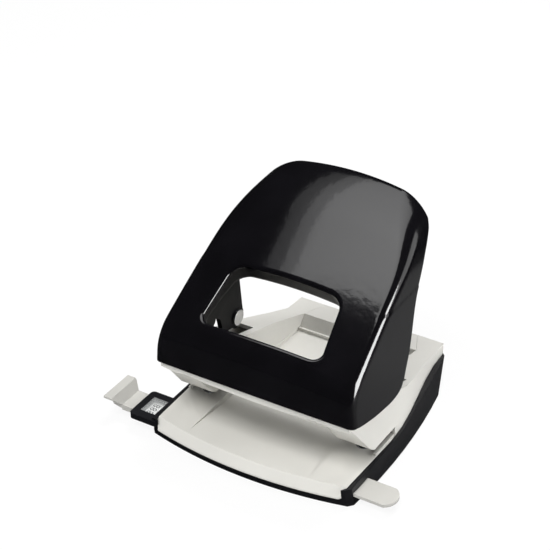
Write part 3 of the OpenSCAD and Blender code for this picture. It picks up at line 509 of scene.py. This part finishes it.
def handle_mesh(crease, rim_round, rim_depth):
    """The pressed sheet as one grid. Loops run round the window: up its rim, over the rounding, and
    outwards over the face to the lip, the creases and the rear edge. From each crease a second grid goes
    round the fold and down the flange. Every loop point is window + (edge - window) * share, in the
    tilted plane; its height is that of the crowned face.
    Returns the points, the quads, and the loops of points along the sheet's outer edge and its rim."""
    nb, ns, nt, nf, nl = ACROSS_LIP, ALONG, ACROSS_REAR, ROUND_FOLD, DOWN_FLANGE

    def radius(a):
        """The fold's radius, which opens towards the rear."""
        return crease * (1 + FOLD_GROWTH * np.clip((np.asarray(a) + 5) / 95, 0, 1) ** 2)

    def crease_x(a):
        """Half width of the face, at the crease."""
        return fold_points(a, 0.0, radius(a))[2]

    # the creases' ends, at the lip and at the rear edge, from a first guess at their half widths
    x_lip, x_rear = 46.5, 36.0
    for _ in range(20):
        a_lip = solve_a(np.array([x_lip]), lambda y, z, x: z - LIP_Z)
        x_lip = crease_x(a_lip)[0]
        a_rear = solve_a(np.array([x_rear]), behind_rear)
        x_rear = crease_x(a_rear)[0]
    a_lip, a_rear = a_lip[0], a_rear[0]

    # places along the crease, evenly by the length of the middle line, and the face's edge through them
    fine = np.linspace(a_lip, a_rear, 2000)
    length = run_length(np.c_[fine, middle_n(fine)])
    at = np.interp(np.linspace(0, length[-1], ns + 1), length, fine)
    side = np.c_[crease_x(at), at]
    xb = np.linspace(-x_lip, x_lip, nb + 1)
    lip = np.c_[xb, solve_a(xb, lambda y, z, x: z - LIP_Z - LIP_RISE * (1 - (x / x_lip) ** 2))]
    xt = np.linspace(x_rear, -x_rear, nt + 1)
    top = np.c_[xt, solve_a(xt, behind_rear)]
    outer = np.vstack([lip[:-1], side[:-1], top[:-1], (side * [-1, 1])[::-1][:-1]])
    window = smoothed(window_loop((nb, ns, nt, ns)), 3)
    tangent = np.roll(window, -1, 0) - np.roll(window, 1, 0)
    away = np.c_[tangent[:, 1], -tangent[:, 0]] / np.hypot(*tangent.T)[:, None]
    m = len(window)

    # loops: the rim's wall, its rounding, and the face
    rows = []
    deep = rim_depth * (1 + RIM_SLOPE * np.clip((window[:, 1] - 2) / 24, 0, 1) ** 1.5)
    for share in np.linspace(1, 0, RIM_ROWS + 1)[:-1]:
        rows.append(np.c_[window, face_n(*window.T) - rim_round - (deep - rim_round) * share])
    for turn in np.linspace(np.pi / 2, 0, 9):
        p = window + away * rim_round * (1 - np.sin(turn))
        rows.append(np.c_[p, face_n(*p.T) - rim_round * (1 - np.cos(turn))])
    start = window + away * rim_round
    for share in np.linspace(0, 1, 45)[1:] ** 1.25:
        p = start + (outer - start) * share
        rows.append(np.c_[p, face_n(*p.T)])
    points = [np.array(rows).reshape(-1, 3)]
    k = len(rows)
    i = np.arange(m)
    quads = [np.c_[r * m + i, r * m + (i + 1) % m, (r + 1) * m + (i + 1) % m, (r + 1) * m + i]
             for r in range(k - 1)]

    # folds and flanges; each row of the fold is drawn in so that it ends at the rear edge
    edge = rounded_line(FLANGE_EDGE, 4)
    edge_a, edge_n = tilted(edge[:, 0], edge[:, 1])
    run = run_length(edge)
    ends = np.interp([tilted(*FLANGE_FRONT)[0], tilted(*FLANGE_REAR)[0]], edge_a, run)
    low_a = np.interp(np.linspace(*ends, ns + 1), run, edge_a)
    low_n = np.interp(low_a, edge_a, edge_n)
    turns = np.linspace(0, np.pi / 2, nf + 1)[1:, None]
    last = np.full(turns.shape, a_rear)
    for _ in range(30):
        a, n, x = fold_points(last, turns, radius(last))
        last = last - 0.6 * behind_rear(*untilted(a, n), x)
    drawn = a_lip + (at - a_lip) * (last - a_lip) / (a_rear - a_lip)
    a, n, x = fold_points(drawn, turns, radius(drawn))
    spread = np.linspace(0, 1, nl + 1)[1:, None]
    a = np.vstack([a, a[-1] + (low_a - a[-1]) * spread])
    n = np.vstack([n, n[-1] + (low_n - n[-1]) * spread])
    x = np.vstack([x, flange_x(a[nf:] * SA + n[nf:] * CA)])
    outer_row, cols = (k - 1) * m, ns + 1
    right = k * m + np.arange((nf + nl) * cols).reshape(nf + nl, cols)
    left = right + (nf + nl) * cols
    j = np.arange(cols)
    heads = outer_row + nb + j, outer_row + (nb + ns + nt + ns - j) % m
    for sign, head, body in ((1, heads[0], right), (-1, heads[1], left)):
        points.append(np.stack([sign * x, a, n], -1).reshape(-1, 3))
        lines = np.vstack([head[None, :], body])
        for r in range(nf + nl):
            q = np.c_[lines[r][:-1], lines[r + 1][:-1], lines[r + 1][1:], lines[r][1:]]
            quads.append(q[:, ::-1] if sign > 0 else q)
    p = np.vstack(points)
    y, z = untilted(p[:, 1], p[:, 2])
    z = z - TOP_DROP * np.clip((z - 60) / 47, 0, 1) ** 2

    # the free edges, in order round the sheet and round the rim
    around = np.concatenate([
        outer_row + np.arange(nb + 1), right[:, 0], right[-1, 1:], right[-2::-1, -1],
        outer_row + nb + ns + np.arange(nt + 1), left[:, -1], left[-1, -2::-1], left[-2::-1, 0]])
    return np.c_[p[:, 0], y, z], np.vstack(quads), around, np.arange(m)


def unit(v):
    """Vectors of length 1 in the same directions."""
    return v / np.maximum(np.linalg.norm(v, axis=-1, keepdims=True), 1e-9)


def vertex_normals(p, quads):
    """Sum of the cross products of each quad's diagonals at its four corners."""
    c = np.cross(p[quads[:, 2]] - p[quads[:, 0]], p[quads[:, 3]] - p[quads[:, 1]])
    n = np.zeros_like(p)
    for corner in range(4):
        np.add.at(n, quads[:, corner], c)
    return unit(n)


def shell(p, quads, loops, wall, lip=0.35, steps=6):
    """A closed sheet: the surface, a copy a wall below it along the normals, and over each free edge
    a rounded band, middle + wall / 2 * (normal * cos t + outwards * lip / (wall / 2) * sin t)."""
    n = vertex_normals(p, quads)
    inner = p - n * wall
    count = len(p)
    points = [p, inner]
    faces = [quads, quads[:, ::-1] + count]
    base = 2 * count
    for loop, away in loops:
        q, up = p[loop], n[loop]
        along = unit(np.roll(q, -1, 0) - np.roll(q, 1, 0))
        out = unit(np.cross(along, up)) * away
        t = np.linspace(0, np.pi, steps + 1)[1:-1, None, None]
        band = (q - up * wall / 2) + wall / 2 * up * np.cos(t) + lip * out * np.sin(t)
        points.append(band.reshape(-1, 3))
        m = len(loop)
        ring = np.vstack([loop, base + np.arange((steps - 1) * m).reshape(steps - 1, m), loop + count])
        i = np.arange(m)
        for row in range(steps):
            f = np.c_[ring[row][i], ring[row][(i + 1) % m], ring[row + 1][(i + 1) % m], ring[row + 1][i]]
            faces.append(f if away < 0 else f[:, ::-1])
        base += (steps - 1) * m
    return np.vstack(points), np.vstack(faces)


# ---------- the print in the format window, in millimetres ----------

PRINT_AT = (-55.15, -43.1)      # middle of the white field
PRINT_SIZE = (8.6, 11.4)        # its width and length
FILM = 0.03                     # thickness of the field, and of the figures on it
FIGURES_AT = (-0.7, -0.3)       # middle of the figures, from the middle of the field
FIGURE_PITCH = 2.75             # from one figure to the next
RING_SIDE = 0.78                # from the middle of a figure to the middle of each of its rings
RING_OUTER, RING_INNER = (0.98, 1.05), (0.46, 0.5)      # radii across and along


def ring_tube(x, y, foot, top, count=40):
    """One ring of a figure as a closed tube of four loops: middle + (rx cos t, ry sin t), outside and
    inside, at the foot and at the top."""
    t = np.linspace(0, 2 * np.pi, count, endpoint=False)
    turn = np.c_[np.cos(t), np.sin(t)]
    loops = [np.c_[turn * radii + [x, y], np.full(count, z)] for radii, z in
             ((RING_OUTER, foot), (RING_OUTER, top), (RING_INNER, top), (RING_INNER, foot))]
    i = np.arange(count)
    quads = [np.c_[a * count + i, a * count + (i + 1) % count, b * count + (i + 1) % count, b * count + i]
             for a, b in ((0, 1), (1, 2), (2, 3), (3, 0))]
    return np.vstack(loops), np.vstack(quads)


def print_field(z):
    """The white field, a closed film with its foot at height z."""
    w, d = PRINT_SIZE[0] / 2, PRINT_SIZE[1] / 2
    corners = np.array([[-w, -d], [w, -d], [w, d], [-w, d]]) + PRINT_AT
    points = np.vstack([np.c_[corners, np.full(4, z)], np.c_[corners, np.full(4, z + FILM)]])
    return points, [[3, 2, 1, 0], [4, 5, 6, 7], [0, 1, 5, 4], [1, 2, 6, 5], [2, 3, 7, 6], [3, 0, 4, 7]]


def print_figures(z):
    """Three figures 8 with their foot at height z, each of two rings side by side."""
    x, y = np.add(PRINT_AT, FIGURES_AT)
    points, faces = [], []
    for row in (-FIGURE_PITCH, 0.0, FIGURE_PITCH):
        for side in (-RING_SIDE, RING_SIDE):
            p, q = ring_tube(x + side, y + row, z, z + FILM)
            faces.append(q + len(points) * len(p))
            points.append(p)
    return np.vstack(points), np.vstack(faces)


# ---------- operators ----------

class PUNCH_OT_handle(bpy.types.Operator):
    """Makes the pressed handle: crowned face, folded flanges and a window with a turned-in rim"""
    bl_idname = "punch.handle"
    bl_label = "Handle"

    def execute(self, context):
        h = context.scene.punch_handle
        verts, quads, around, rim = handle_mesh(h.crease / MM, h.rim_round / MM, h.rim_depth / MM)
        quads = quads[:, ::-1]
        outside = len(quads)
        verts, quads = shell(verts, quads, ((around, 1), (rim, -1)), h.sheet / MM)
        ob = new_piece("handle_sheet", verts, quads, gloss_enamel(), "handle")
        # the inside and the wall of the window are painted thinner
        inside = satin_enamel()
        ob.data.materials.append(inside)
        thin = np.zeros(len(quads), int)
        thin[:RIM_ROWS * len(rim)] = 1
        thin[outside:] = 1
        ob.data.polygons.foreach_set("material_index", thin)
        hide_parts("handle_shell")
        dressed("press_frame", inside, "handle", 0.3)
        stud = steel("stud steel", (0.62, 0.62, 0.62), 0.35, (1, 1, 1), 0.3)
        for node in ("handle_stud_left", "handle_stud_right"):
            dressed(node, stud, "handle", 0.25, 3)
        return {"FINISHED"}


class PUNCH_OT_base(bpy.types.Operator):
    """Dresses the base: tray, chip door, mat and feet"""
    bl_idname = "punch.base"
    bl_label = "Base"

    def execute(self, context):
        dark = dark_plastic()
        soft = rubber()
        dressed("base_tray", dark, "base", 0.35)
        dressed("chip_door", dark, "chip_lid", 0.25)
        dressed("rear_mat", soft, "base", 0.3)
        dressed("front_feet", soft, "base", 0.4)
        return {"FINISHED"}


class PUNCH_OT_deck(bpy.types.Operator):
    """Dresses the deck and the housing in light plastic"""
    bl_idname = "punch.deck"
    bl_label = "Deck and housing"

    def execute(self, context):
        light = light_plastic()
        dressed("deck", light, "base", 0.4)
        mesh = dressed("housing", light, "base", 0.5).data
        # the band under the handle's lip has its lower edge raised
        co = np.empty(len(mesh.vertices) * 3)
        mesh.vertices.foreach_get("co", co)
        co = co.reshape(-1, 3)
        low, high = BAND_EDGE_Z
        edge = (co[:, 1] < BAND_Y * MM) & (co[:, 2] > low * MM) & (co[:, 2] < high * MM)
        co[edge, 2] += BAND_RISE * MM
        mesh.vertices.foreach_set("co", co.ravel())
        mesh.update()
        return {"FINISHED"}


class PUNCH_OT_units(bpy.types.Operator):
    """Dresses the punch units: brackets, dies, pins, springs, clips and the axle"""
    bl_idname = "punch.units"
    bl_label = "Punch units"

    def execute(self, context):
        plated = steel("plated steel", (0.66, 0.67, 0.69), 0.3, (1, 1, 6))
        tool = steel("tool steel", (0.56, 0.57, 0.59), 0.22, (8, 8, 1))
        bright = steel("spring steel", (0.72, 0.73, 0.75), 0.18, (1, 1, 4), 0.3)
        for side in ("left", "right"):
            dressed("punch_bracket_" + side, plated, "base", 0.2)
            dressed("die_plate_" + side, plated, "base", 0.2)
            dressed("cutting_die_" + side, tool, "base", 0.15)
            dressed("punch_pin_" + side, tool, "pin_" + side, 0)
            dressed("spring_washer_" + side, plated, "pin_" + side, 0.1)
            dressed("pin_clip_" + side, bright, "pin_" + side, 0.1)
            # the spring stands on the bracket; it rides on the base, with a mesh of its own
            spring = dressed("return_spring_" + side, bright, "base", 0)
            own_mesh(spring)
        dressed("pivot_axle", plated, "base", 0.2)
        dressed("axle_clips", bright, "base", 0.1)
        dressed("rail_spring", bright, "base", 0)
        return {"FINISHED"}


class PUNCH_OT_guide(bpy.types.Operator):
    """Dresses the paper guide and its clear pane"""
    bl_idname = "punch.guide"
    bl_label = "Paper guide"

    def execute(self, context):
        dressed("guide_rail", guide_plastic(), "guide", 0.4)
        dressed("guide_window", clear_pane(), "base", 0.1)
        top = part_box("guide_rail")[0][2] / MM + RAIL_T
        for name, (verts, quads), ink in (
                ("format_field", print_field(top), print_ink("white print", (0.86, 0.86, 0.85))),
                ("format_digits", print_figures(top + FILM), print_ink("black print", (0.01, 0.01, 0.01)))):
            ob = new_piece(name, verts, quads, ink, "guide")
        return {"FINISHED"}


class PUNCH_OT_screws(bpy.types.Operator):
    """Dresses the screws"""
    bl_idname = "punch.screws"
    bl_label = "Screws"

    def execute(self, context):
        zinc = steel("zinc screws", (0.5, 0.5, 0.52), 0.35, (1, 1, 1))
        for node in ("base_screws", "bracket_screws"):
            dressed(node, zinc, "base", 0.08)
        return {"FINISHED"}


class PUNCH_OT_stage(bpy.types.Operator):
    """Sets up the pale floor, the soft studio lights and the camera"""
    bl_idname = "punch.stage"
    bl_label = "Studio"

    def execute(self, context):
        scene = context.scene
        scene.view_settings.view_transform = "Standard"
        self.floor(scene)
        self.world(scene)
        self.lights(scene)
        self.camera(scene)
        return {"FINISHED"}

    def floor(self, scene):
        """A pale floor that is nearly white to the camera wherever the object casts no shadow on it. In
        gloss its colour is painted light: pale about a point near the object, fading to black at a distance, as
        a table does between black flags."""
        mesh = bpy.data.meshes.new("floor")
        mesh.from_pydata([(-3, -3, 0), (3, -3, 0), (3, 3, 0), (-3, 3, 0)], [], [(0, 1, 2, 3)])
        floor = bpy.data.objects.new("floor", mesh)
        scene.collection.objects.link(floor)
        m, t, s = shader("floor", (FLOOR_TONE,) * 3, 0.8)
        glow = t.nodes.new("ShaderNodeEmission")
        glow.inputs["Strength"].default_value = 1.0
        glowing = t.nodes.new("ShaderNodeMath")
        glowing.operation = "MULTIPLY"
        glowing.inputs[1].default_value = FLOOR_GLOW
        place = t.nodes.new("ShaderNodeTexCoord")
        far = t.nodes.new("ShaderNodeVectorMath")
        far.operation = "DISTANCE"
        far.inputs[1].default_value = GLOSS_LIGHT_POOL_CENTRE
        tone = t.nodes.new("ShaderNodeMix")
        tone.inputs["A"].default_value = FLOOR_TONE
        mix = t.nodes.new("ShaderNodeMixShader")
        rays, seen = seen_rays(t)
        t.links.new(seen, glowing.inputs[0])
        t.links.new(place.outputs["Object"], far.inputs[0])
        # painted light: to gloss rays the floor's colour falls from pale near the centre to black far away
        t.links.new(rays.outputs["Is Glossy Ray"], tone.inputs["Factor"])
        t.links.new(ranged(t, far.outputs["Value"], *GLOSS_PAINTED_LIGHT, *GLOSS_REACH), tone.inputs["B"])
        t.links.new(tone.outputs["Result"], s.inputs["Base Color"])
        t.links.new(glowing.outputs[0], mix.inputs["Fac"])
        t.links.new(s.outputs[0], mix.inputs[1])
        t.links.new(glow.outputs[0], mix.inputs[2])
        t.links.new(mix.outputs[0], t.nodes["Material Output"].inputs["Surface"])
        mesh.materials.append(m)

    def world(self, scene):
        """Soft light all round on the plastics, nearly black to gloss, and white to the camera."""
        scene.world = bpy.data.worlds.new("studio")
        scene.world.use_nodes = True
        t = scene.world.node_tree
        around = t.nodes["Background"]
        around.inputs["Color"].default_value = (1, 1, 1, 1)
        around.inputs["Strength"].default_value = scene.punch_studio.fill
        white = t.nodes.new("ShaderNodeBackground")
        white.inputs["Strength"].default_value = 1.0
        flags = t.nodes.new("ShaderNodeBackground")
        flags.inputs["Strength"].default_value = 0.01
        gloss = t.nodes.new("ShaderNodeMixShader")
        mix = t.nodes.new("ShaderNodeMixShader")
        rays, seen = seen_rays(t)
        t.links.new(rays.outputs["Is Glossy Ray"], gloss.inputs["Fac"])
        t.links.new(around.outputs[0], gloss.inputs[1])
        t.links.new(flags.outputs[0], gloss.inputs[2])
        t.links.new(seen, mix.inputs["Fac"])
        t.links.new(gloss.outputs[0], mix.inputs[1])
        t.links.new(white.outputs[0], mix.inputs[2])
        t.links.new(mix.outputs[0], t.nodes["World Output"].inputs["Surface"])

    def lights(self, scene):
        """Soft boxes: those that shape the gloss, and those that light the plastics."""
        st = scene.punch_studio
        # the light overhead is three sheets with stepped left edges, so its reflection fades out there
        right = 0.445
        for name, left, up, part in (("top light", -0.41, 0.97, 0.4), ("top light wide", -0.5, 0.98, 0.35),
                                     ("top light widest", -0.61, 0.99, 0.25)):
            middle, width = (left + right) / 2, right - left
            power = st.key * part * width
            sheet = lamp(name, (middle, 0.3, up), (middle, 0.3, 0.0), (width, 1.0), power, "gloss")
            sheet.data.spread = math.radians(125)
        ahead = (0.04, 0.0, 0.06)
        lamp("side light", (0.95, 0.07, 0.27), ahead, (0.45, 0.5), st.side, "gloss")
        lamp("faint side light", (0.787, 0.467, 0.416), ahead, (0.5, 0.35), st.side * 0.08, "gloss")
        lamp("front light", (-0.05, -0.55, 0.92), (0.0, -0.02, 0.03), (0.7, 0.4), st.front, "plastic")
        lamp("right light", (0.9, 0.15, 0.35), (0.0, 0.0, 0.03), (0.4, 0.3), st.front * 0.4, "plastic")
        lamp("rear light", (0.0, 0.46, 0.93), (0.0, 0.04, 0.03), (0.45, 0.22), st.front * 0.75, "plastic")

    def camera(self, scene):
        """The camera on a sphere about the point that it looks at."""
        st = scene.punch_studio
        data = bpy.data.cameras.new("camera")
        data.lens = st.lens
        data.sensor_width = 36
        data.clip_start = 0.01
        ob = bpy.data.objects.new("camera", data)
        scene.collection.objects.link(ob)
        away = Vector((math.sin(st.azimuth) * math.cos(st.elevation),
                       -math.cos(st.azimuth) * math.cos(st.elevation), math.sin(st.elevation)))
        ob.location = Vector(CAMERA_TARGET) + away * st.distance
        ob.rotation_euler = (math.pi / 2 - st.elevation, 0, st.azimuth)
        scene.camera = ob


class PUNCH_PT_panel(bpy.types.Panel):
    """Lists the steps that build the punch"""
    bl_label = "Hole punch"
    bl_idname = "PUNCH_PT_panel"
    bl_space_type = "VIEW_3D"
    bl_region_type = "UI"
    bl_category = "Hole punch"

    def draw(self, context):
        for group in (context.scene.punch_handle, context.scene.punch_finish, context.scene.punch_studio):
            box = self.layout.box()
            for key in group.__annotations__:
                box.prop(group, key)
        for cls in STEPS:
            self.layout.operator(cls.bl_idname)


STEPS = (PUNCH_OT_base, PUNCH_OT_deck, PUNCH_OT_units, PUNCH_OT_handle, PUNCH_OT_guide, PUNCH_OT_screws,
         PUNCH_OT_stage)
CLASSES = (HandleSettings, FinishSettings, StudioSettings) + STEPS + (PUNCH_PT_panel,)


def register():
    """Adds the settings, the operators and the panel."""
    for cls in CLASSES:
        bpy.utils.register_class(cls)
    bpy.types.Scene.punch_handle = PointerProperty(type=HandleSettings)
    bpy.types.Scene.punch_finish = PointerProperty(type=FinishSettings)
    bpy.types.Scene.punch_studio = PointerProperty(type=StudioSettings)


def unregister():
    """Takes them away again, in the opposite order."""
    del bpy.types.Scene.punch_studio
    del bpy.types.Scene.punch_finish
    del bpy.types.Scene.punch_handle
    for cls in reversed(CLASSES):
        bpy.utils.unregister_class(cls)


def main():
    """Builds every piece and the studio."""
    register()
    bpy.ops.punch.base()
    bpy.ops.punch.deck()
    bpy.ops.punch.units()
    bpy.ops.punch.handle()
    bpy.ops.punch.guide()
    bpy.ops.punch.screws()
    bpy.ops.punch.stage()


if __name__ == "__main__":
    main()
